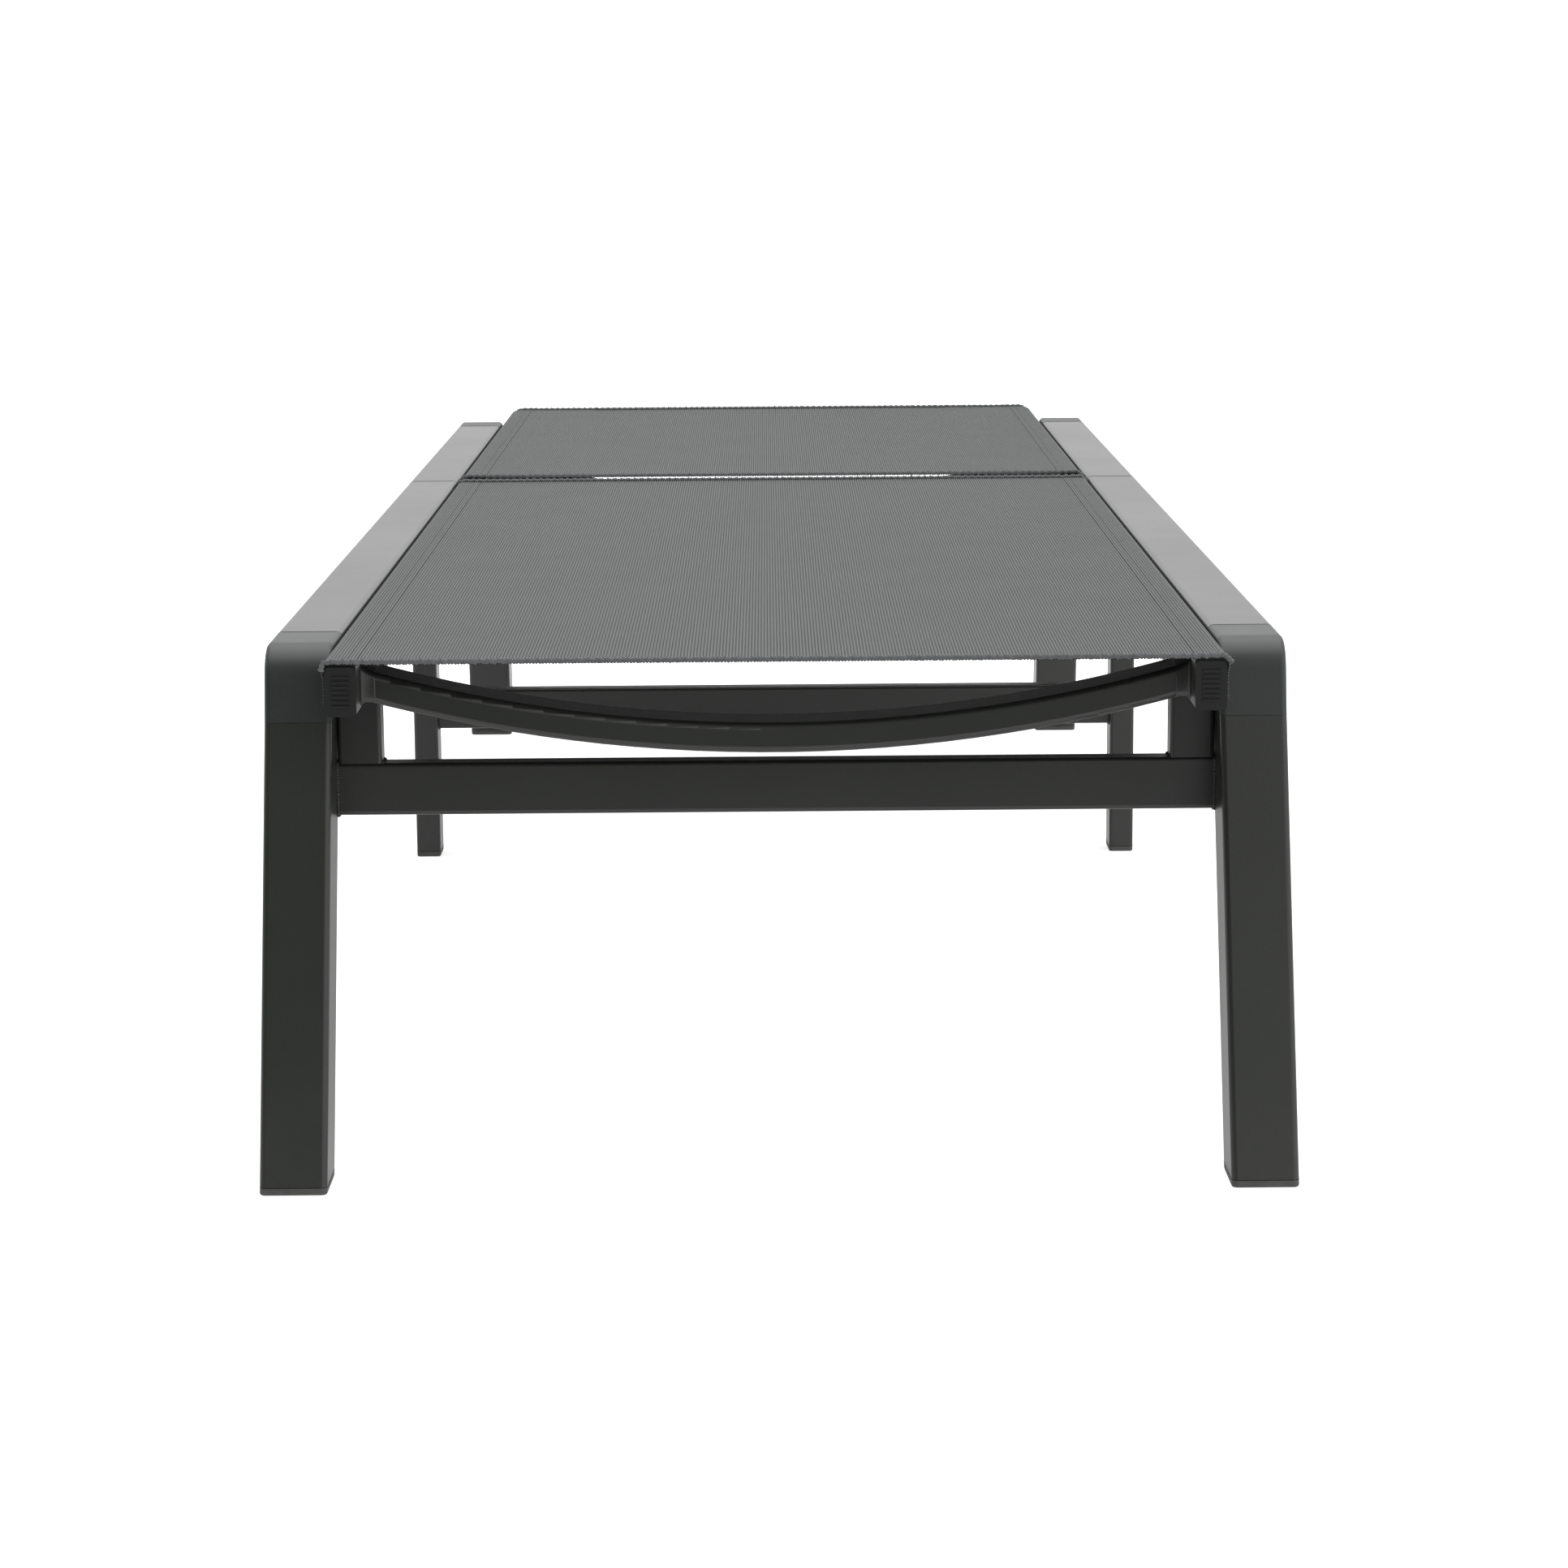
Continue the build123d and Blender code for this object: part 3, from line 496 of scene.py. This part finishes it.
def buildBeadTree(name, segments, rings, hasCore):
    tree = bpy.data.node_groups.new(name, "GeometryNodeTree")
    face = tree.interface
    face.new_socket("Path", in_out="INPUT", socket_type="NodeSocketGeometry")
    for label, value in (("Spacing", 0.003), ("Length", 0.001), ("Width", 0.001), ("Height", 0.001),
                         ("Slant", 0.0), ("Core", 0.001), ("Uneven", 0.06)):
        face.new_socket(label, in_out="INPUT", socket_type=floatKind).default_value = value
    face.new_socket("Finish", in_out="INPUT", socket_type="NodeSocketMaterial")
    face.new_socket("Geometry", in_out="OUTPUT", socket_type="NodeSocketGeometry")
    nodes, links = tree.nodes, tree.links
    start = nodes.new("NodeGroupInput")
    end = nodes.new("NodeGroupOutput")
    curve = nodes.new("GeometryNodeMeshToCurve")
    links.new(start.outputs["Path"], curve.inputs["Mesh"])
    steps = nodes.new("GeometryNodeResampleCurve")
    steps.mode = "LENGTH"
    links.new(curve.outputs["Curve"], steps.inputs["Curve"])
    links.new(start.outputs["Spacing"], steps.inputs["Length"])
    ball = nodes.new("GeometryNodeMeshUVSphere")
    ball.inputs["Segments"].default_value = segments
    ball.inputs["Rings"].default_value = rings
    ball.inputs["Radius"].default_value = 1.0
    size = nodes.new("ShaderNodeCombineXYZ")
    for label, axis in (("Length", "X"), ("Width", "Y"), ("Height", "Z")):
        links.new(start.outputs[label], size.inputs[axis])
    bead = nodes.new("GeometryNodeTransform")
    links.new(ball.outputs["Mesh"], bead.inputs["Geometry"])
    links.new(size.outputs["Vector"], bead.inputs["Scale"])
    tangent = nodes.new("GeometryNodeInputTangent")
    turn = nodes.new("FunctionNodeAlignRotationToVector")
    turn.axis = "X"
    links.new(tangent.outputs["Tangent"], turn.inputs["Vector"])
    slant = nodes.new("ShaderNodeCombineXYZ")
    links.new(start.outputs["Slant"], slant.inputs["Z"])
    slantTurn = nodes.new("FunctionNodeEulerToRotation")
    links.new(slant.outputs["Vector"], slantTurn.inputs["Euler"])
    both = nodes.new("FunctionNodeRotateRotation")
    both.rotation_space = "LOCAL"
    links.new(turn.outputs["Rotation"], both.inputs["Rotation"])
    links.new(slantTurn.outputs["Rotation"], both.inputs["Rotate By"])
    low = nodes.new("ShaderNodeMath")
    low.operation = "SUBTRACT"
    low.inputs[0].default_value = 1.0
    links.new(start.outputs["Uneven"], low.inputs[1])
    high = nodes.new("ShaderNodeMath")
    high.operation = "ADD"
    high.inputs[0].default_value = 1.0
    links.new(start.outputs["Uneven"], high.inputs[1])
    vary = nodes.new("FunctionNodeRandomValue")
    vary.data_type = "FLOAT"
    links.new(low.outputs["Value"], vary.inputs[2])
    links.new(high.outputs["Value"], vary.inputs[3])
    vary.inputs["Seed"].default_value = unevenSeed
    lay = nodes.new("GeometryNodeInstanceOnPoints")
    links.new(steps.outputs["Curve"], lay.inputs["Points"])
    links.new(bead.outputs["Geometry"], lay.inputs["Instance"])
    links.new(both.outputs["Rotation"], lay.inputs["Rotation"])
    links.new(vary.outputs[1], lay.inputs["Scale"])
    result = lay.outputs["Instances"]
    if hasCore:
        ring = nodes.new("GeometryNodeCurvePrimitiveCircle")
        ring.inputs["Resolution"].default_value = coreSides
        links.new(start.outputs["Core"], ring.inputs["Radius"])
        core = nodes.new("GeometryNodeCurveToMesh")
        core.inputs["Fill Caps"].default_value = True
        links.new(curve.outputs["Curve"], core.inputs["Curve"])
        links.new(ring.outputs["Curve"], core.inputs["Profile Curve"])
        join = nodes.new("GeometryNodeJoinGeometry")
        links.new(result, join.inputs["Geometry"])
        links.new(core.outputs["Mesh"], join.inputs["Geometry"])
        result = join.outputs["Geometry"]
    real = nodes.new("GeometryNodeRealizeInstances")
    links.new(result, real.inputs["Geometry"])
    smooth = nodes.new("GeometryNodeSetShadeSmooth")
    links.new(real.outputs["Geometry"], smooth.inputs["Geometry"])
    paint = nodes.new("GeometryNodeSetMaterial")
    links.new(smooth.outputs["Geometry"], paint.inputs["Geometry"])
    links.new(start.outputs["Finish"], paint.inputs["Material"])
    links.new(paint.outputs["Geometry"], end.inputs["Geometry"])
    return tree


beadTrees = {
    "stitchRow": buildBeadTree("stitchRow", segments=6, rings=5, hasCore=False),
    "hemRoll": buildBeadTree("hemRoll", segments=8, rings=6, hasCore=True),
    "weldBead": buildBeadTree("weldBead", segments=8, rings=6, hasCore=False),
}


def beadValues(look):
    labels = ("Spacing", "Length", "Width", "Height", "Slant", "Core", "Uneven")
    return {label: look.get(label.lower(), 0.0) for label in labels}


def growAlong(name, treeName, paths, values, finish, body):
    points, edges = [], []
    for path, closed in paths:
        first = len(points)
        points += [tuple(p) for p in path]
        edges += [(first + i, first + i + 1) for i in range(len(path) - 1)]
        if closed:
            edges.append((len(points) - 1, first))
    mesh = bpy.data.meshes.new(name)
    mesh.from_pydata(points, edges, [])
    piece = linkPiece(name, mesh)
    grow = piece.modifiers.new("grow", "NODES")
    tree = beadTrees[treeName]
    grow.node_group = tree
    wanted = dict(values, Finish=finish)
    for item in tree.interface.items_tree:
        if item.item_type == "SOCKET" and item.in_out == "INPUT" and item.name in wanted:
            grow[item.identifier] = wanted[item.name]
    grown = piece.evaluated_get(bpy.context.evaluated_depsgraph_get())
    solid = bpy.data.meshes.new_from_object(grown)
    piece.modifiers.clear()
    piece.data = solid
    solid.name = name
    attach(piece, body)
    return piece


# Slings: one taut sheet each, over the rails and down their outer sides
slingSizes = {
    "halfWidth": 0.29275,     # to the middle of the cloth on the rail's outer side
    "topZ": 0.35478,
    "bend": 0.0034,
    "flapEnd": 0.3255,
    "thickness": 0.0010,
    "ribPitch": weaveLook["ribPitch"],
    "ribHeight": 0.00042,
    "stepsPerRib": 4,
    "stitchIn": (0.0144, 0.0205),
    "grooveDepth": 0.00035,
    "grooveWidth": 0.0007,
    "pocketRise": 0.00025,
    "sag": 0.0006,
    "sagHalf": 0.27,          # the sag fades out this far from the middle
    "cornerRound": 0.009,
    "cornerSteps": 5,
    "cornerSide": 0.2,        # only cloth further out than this is rounded off
    "sideFrom": 0.0006,       # cloth this far below the top belongs to the side flap
    "leastFlap": 0.03,        # share of the flap left at a rounded end
    "cutBack": 0.007,         # the side flap starts this far in from the hem
    "hemDrop": 0.3490,        # lowest point of a hem on the rail's side
    "cutBlend": 0.006,
    "endRows": (0.0, 0.0015, 0.004, 0.009, 0.02, 0.05),
    "rowCount": 14,
}


def slingSection():
    s = slingSizes
    step = s["ribPitch"] / s["stepsPerRib"]
    flatHalf = s["halfWidth"] - s["bend"]
    bendLength = s["bend"] * math.pi / 2
    flapTop = s["topZ"] - s["bend"]
    total = flatHalf + bendLength + flapTop - s["flapEnd"]
    arcs = [i * step for i in range(int(total / step))] + [total]
    half = []
    for arc in arcs:
        if arc <= flatHalf:
            x, z, nx, nz = arc, s["topZ"], 0.0, 1.0
        elif arc <= flatHalf + bendLength:
            angle = (arc - flatHalf) / s["bend"]
            nx, nz = math.sin(angle), math.cos(angle)
            x = flatHalf + s["bend"] * nx
            z = flapTop + s["bend"] * nz
        else:
            x, z, nx, nz = s["halfWidth"], flapTop - (arc - flatHalf - bendLength), 1.0, 0.0
        rise = s["ribHeight"] * math.cos(2 * math.pi * arc / s["ribPitch"])
        for inset in s["stitchIn"]:
            away = (arc - (s["halfWidth"] - inset)) / s["grooveWidth"]
            rise -= s["grooveDepth"] * math.exp(-away * away)
        if s["halfWidth"] - s["stitchIn"][1] < arc:
            rise += s["pocketRise"]
        half.append((x + nx * rise, z + nz * rise, arc))
    left = [(-x, z, -arc) for x, z, arc in reversed(half[1:])]
    return left + half


def slingRows(length, roundedEnd):
    s = slingSizes
    farRows = list(s["endRows"])
    if roundedEnd:
        turns = [math.pi / 2 * i / s["cornerSteps"] for i in range(s["cornerSteps"] + 1)]
        farRows = [s["cornerRound"] * (1 - math.cos(turn)) for turn in turns]
        farRows += s["endRows"][-2:]
    inner = [length * i / s["rowCount"] for i in range(1, s["rowCount"])]
    rows = list(s["endRows"]) + inner + [length - row for row in farRows]
    rows = sorted(set(round(row, 6) for row in rows))
    return [row for row in rows if 0.0 <= row <= length]


def slingPoint(x, z, row, low, length, roundedEnd):
    s = slingSizes
    corner = s["cornerRound"]
    shrink, keep = 0.0, 1.0
    across = corner - (length - row)
    if roundedEnd and across > 0.0:
        shrink = corner - math.sqrt(max(corner * corner - across * across, 0.0))
        keep = max(0.0, 1.0 - (across / corner) ** 2)
    depth = s["topZ"] - z
    newX = x * (s["halfWidth"] - shrink) / s["halfWidth"] if abs(x) > s["cornerSide"] else x
    if depth > s["sideFrom"]:
        z = s["topZ"] - depth * (keep * (1.0 - s["leastFlap"]) + s["leastFlap"])
    middle = max(0.0, 1.0 - (x / s["sagHalf"]) ** 2)
    z -= s["sag"] * math.sin(math.pi * row / length) * middle
    below = min(max((s["hemDrop"] - z) / s["cutBlend"], 0.0), 1.0)
    cut = s["cutBack"] * below * below * (3.0 - 2.0 * below)
    return newX, low.y + cut + row * (length - 2.0 * cut) / length, z


def buildSling(name, node, body, roundedEnd):
    low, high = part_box(node)
    length = high.y - low.y
    section = slingSection()
    rows = slingRows(length, roundedEnd)
    columns = len(section)
    points = [slingPoint(x, z, row, low, length, roundedEnd) for row in rows for x, z, arc in section]
    clothAt = [(arc, low.y + row) for row in rows for x, z, arc in section]
    faces = []
    for r in range(len(rows) - 1):
        for c in range(columns - 1):
            a = r * columns + c
            faces.append((a, a + 1, a + 1 + columns, a + columns))
    mesh = bpy.data.meshes.new(name)
    mesh.from_pydata(points, [], faces)
    cloth = mesh.uv_layers.new(name="cloth")
    for loop in mesh.loops:
        cloth.data[loop.index].uv = clothAt[loop.vertex_index]
    mesh.materials.append(weaveFinish)
    smoothFaces(mesh)
    piece = linkPiece(name, mesh)
    wall = piece.modifiers.new("wall", "SOLIDIFY")
    wall.thickness = slingSizes["thickness"]
    wall.offset = 0.0
    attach(piece, body)
    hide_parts(node)
    return piece, points[:columns], points[-columns:], length


hemSizes = {"spacing": 0.0026, "length": 0.00092, "width": 0.0020, "height": 0.0020, "slant": 0.62,
            "core": 0.00155, "uneven": 0.08, "lift": 0.0015, "sideLift": 0.0009,
            "sideFrom": 0.0015, "outwards": 0.0006, "everyColumn": 6}


def buildHem(name, row, body, outwards):
    h = hemSizes
    path = []
    for x, y, z in row[::h["everyColumn"]]:
        if z < slingSizes["hemDrop"]:
            continue
        onSide = slingSizes["topZ"] - z > h["sideFrom"]
        side = math.copysign(h["sideLift"], x) if onSide else 0.0
        up = 0.0 if onSide else h["lift"]
        path.append((x + side, y + outwards * h["outwards"], z + up))
    return growAlong(name, "hemRoll", [(path, False)], beadValues(h), finishes["hem_binding"], body)


stitchSizes = {"spacing": 0.0036, "length": 0.0013, "width": 0.00042, "height": 0.00030,
               "uneven": 0.08, "endGap": 0.006, "stand": 0.0002}


def buildStitches(name, node, body):
    t = stitchSizes
    s = slingSizes
    low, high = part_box(node)
    top = s["topZ"] + s["thickness"] / 2 - s["grooveDepth"] + t["stand"]
    paths = []
    for side in (-1, 1):
        for inset in s["stitchIn"]:
            x = side * (s["halfWidth"] - inset)
            paths.append(([(x, low.y + t["endGap"], top), (x, high.y - t["endGap"], top)], False))
    return growAlong(name, "stitchRow", paths, beadValues(t), finishes["stitch_thread"], body)


slingPlan = {
    "seat": {"node": "seat_sling", "body": "frame", "rounded": False,
             "rests": ["seat_rail_left", "seat_rail_right"]},
    "back": {"node": "back_sling", "body": "backrest", "rounded": True,
             "rests": ["back_rail_left", "back_rail_right"]},
}
for label, plan in slingPlan.items():
    node, body = plan["node"], plan["body"]
    sling, nearRow, farRow, slingLength = buildSling(label + "Sling", node, body, plan["rounded"])
    nearHem = buildHem(label + "NearHem", nearRow, body, -1)
    farHem = buildHem(label + "FarHem", farRow, body, 1)
    stitches = buildStitches(label + "Stitches", node, body)
print("slings ready")


# Weld beads where the tubes meet
weldSizes = {"spacing": 0.0014, "length": 0.0012, "width": 0.0015, "height": 0.0015,
             "uneven": 0.12, "endGap": 0.003}


def rectLoop(axis, at, centre, size, corner=0.003, steps=3):
    (cu, cv), (su, sv) = centre, size
    loop = []
    for quarter in range(4):
        signU = (1, -1, -1, 1)[quarter]
        signV = (1, 1, -1, -1)[quarter]
        for k in range(steps + 1):
            angle = math.radians(90.0 * (quarter + k / steps))
            u = cu + signU * (su / 2 - corner) + corner * math.cos(angle)
            v = cv + signV * (sv / 2 - corner) + corner * math.sin(angle)
            loop.append({"x": (at, u, v), "y": (u, at, v), "z": (u, v, at)}[axis])
    return loop


def boxLoop(node, axis, high, corner=0.003):
    low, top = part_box(node)
    index = "xyz".index(axis)
    others = [i for i in range(3) if i != index]
    at = (top if high else low)[index]
    centre = [(low[i] + top[i]) / 2 for i in others]
    size = [top[i] - low[i] for i in others]
    return rectLoop(axis, at, centre, size, corner)


def buildWelds():
    w = weldSizes
    loops = []
    for node in ("front_crossbar", "middle_crossbar", "rear_crossbar"):
        loops += [(boxLoop(node, "x", high), True) for high in (False, True)]
    for end in ("front", "rear"):
        for side in ("left", "right"):
            node = end + "_post_" + side
            low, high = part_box(node)
            x = high.x if side == "left" else low.x
            bead = [(x, low.y + w["endGap"], low.z), (x, high.y - w["endGap"], low.z)]
            loops.append((bead, False))
    return growAlong("frameWelds", "weldBead", loops, beadValues(w), finishes["frame_paint"],
                     "frame")


buildWelds()


# Flared saddles that carry each spreader's ends up and down the sling rail's inner face
saddleSizes = {"reach": 0.0095, "steps": 9, "skin": 0.00018, "railEdge": 0.0022,
               "flareDepth": 0.0026, "corner": 0.0042, "cornerSteps": 4,
               "spreaderRadius": 1.008, "spreaderTube": 0.020}


def loftMesh(name, lofts):
    points, faces = [], []
    for rings in lofts:
        count = len(rings[0])
        base = len(points)
        for ring in rings:
            points += ring
        for r in range(len(rings) - 1):
            for c in range(count):
                a = base + r * count + c
                b = base + r * count + (c + 1) % count
                faces.append((a, b, b + count, a + count))
        faces.append(tuple(range(base, base + count)))
        last = base + (len(rings) - 1) * count
        faces.append(tuple(range(last + count - 1, last - 1, -1)))
    mesh = bpy.data.meshes.new(name)
    mesh.from_pydata(points, [], faces)
    work = bmesh.new()
    work.from_mesh(mesh)
    bmesh.ops.recalc_face_normals(work, faces=work.faces)
    work.to_mesh(mesh)
    work.free()
    smoothFaces(mesh)
    return mesh


def buildSaddles(name, spreaderNode, railNode, body):
    q = saddleSizes
    low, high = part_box(spreaderNode)
    railLow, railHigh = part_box(railNode)
    depth = high.y - low.y
    middleY = (low.y + high.y) / 2
    outer = q["spreaderRadius"]
    inner = outer - q["spreaderTube"]
    lofts = []
    for side in (-1, 1):
        rings = []
        for step in range(q["steps"] + 1):
            t = step / q["steps"]
            x = high.x - q["reach"] * t
            flare = 1.0 - math.sqrt(max(1.0 - (1.0 - t) ** 2, 0.0))
            bottom = low.z + outer - math.sqrt(outer ** 2 - x * x)
            top = low.z + outer - math.sqrt(inner ** 2 - x * x)
            bottom += (railLow.z + q["railEdge"] - bottom) * flare - q["skin"]
            top += (railHigh.z - q["railEdge"] - top) * flare + q["skin"]
            wide = depth + 2 * q["flareDepth"] * flare + 2 * q["skin"]
            rings.append(rectLoop("x", side * x, (middleY, (bottom + top) / 2), (wide, top - bottom),
                                  q["corner"], q["cornerSteps"]))
        lofts.append(rings)
    mesh = loftMesh(name, lofts)
    mesh.materials.append(finishes["frame_paint"])
    piece = linkPiece(name, mesh)
    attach(piece, body)


for spreaderNode, railNode, body in (
        ("seat_front_spreader", "seat_rail_right", "frame"),
        ("seat_rear_spreader", "seat_rail_right", "frame"),
        ("back_lower_spreader", "back_rail_right", "backrest"),
        ("back_upper_spreader", "back_rail_right", "backrest")):
    buildSaddles(spreaderNode + "Saddles", spreaderNode, railNode, body)


# Fine dark rings at the castings, the rail joint and the foot caps: painted shade, standing in for the
# shadow down in each joint's groove
seamSizes = {"rail": 0.00024, "leg": 0.00014, "foot": 0.00024, "railCorner": 0.004,
             "legCorner": 0.004, "middleCorner": 0.003, "endFlatness": 0.0001}


def tubeMesh(name, loops, sides=6):
    points, faces = [], []
    for loop, radius in loops:
        base = len(points)
        count = len(loop)
        for i, p in enumerate(loop):
            before = Vector(loop[i - 1])
            after = Vector(loop[(i + 1) % count])
            along = (after - before).normalized()
            seed = Vector((0, 0, 1)) if abs(along.z) < 0.9 else Vector((1, 0, 0))
            u = along.cross(seed).normalized()
            v = along.cross(u)
            for k in range(sides):
                angle = 2 * math.pi * k / sides
                out = math.cos(angle) * u + math.sin(angle) * v
                points.append(tuple(Vector(p) + radius * out))
        for i in range(count):
            for k in range(sides):
                a = base + i * sides + k
                b = base + i * sides + (k + 1) % sides
                c = base + ((i + 1) % count) * sides + (k + 1) % sides
                d = base + ((i + 1) % count) * sides + k
                faces.append((a, b, c, d))
    mesh = bpy.data.meshes.new(name)
    mesh.from_pydata(points, [], faces)
    smoothFaces(mesh)
    return mesh


def endLoop(node, top, corner):
    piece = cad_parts[node]
    points = [piece.matrix_world @ v.co for v in piece.data.vertices]
    height = max(p.z for p in points) if top else min(p.z for p in points)
    ring = [p for p in points if abs(p.z - height) < seamSizes["endFlatness"]]
    low = [min(p[i] for p in ring) for i in (0, 1)]
    high = [max(p[i] for p in ring) for i in (0, 1)]
    centre = [(low[i] + high[i]) / 2 for i in (0, 1)]
    return rectLoop("z", height, centre, [high[i] - low[i] for i in (0, 1)], corner)


def buildSeams():
    m = seamSizes
    loops = []
    for side in ("left", "right"):
        for node, high in (("front_rail_", False), ("front_rail_", True), ("rear_rail_", True)):
            loops.append((boxLoop(node + side, "y", high, m["railCorner"]), m["rail"]))
        for end in ("front_leg_", "rear_leg_"):
            loops.append((endLoop(end + side, True, m["legCorner"]), m["leg"]))
            loops.append((endLoop(end + side, False, m["legCorner"]), m["foot"]))
        loops.append((endLoop("middle_leg_" + side, False, m["middleCorner"]), m["foot"]))
    # The seam_shadow finish paints the grooves' shade onto these thin rings
    mesh = tubeMesh("jointShadeLines", loops)
    mesh.materials.append(finishes["seam_shadow"])
    piece = linkPiece("jointShadeLines", mesh)
    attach(piece, "frame")


buildSeams()
print("frame details ready")
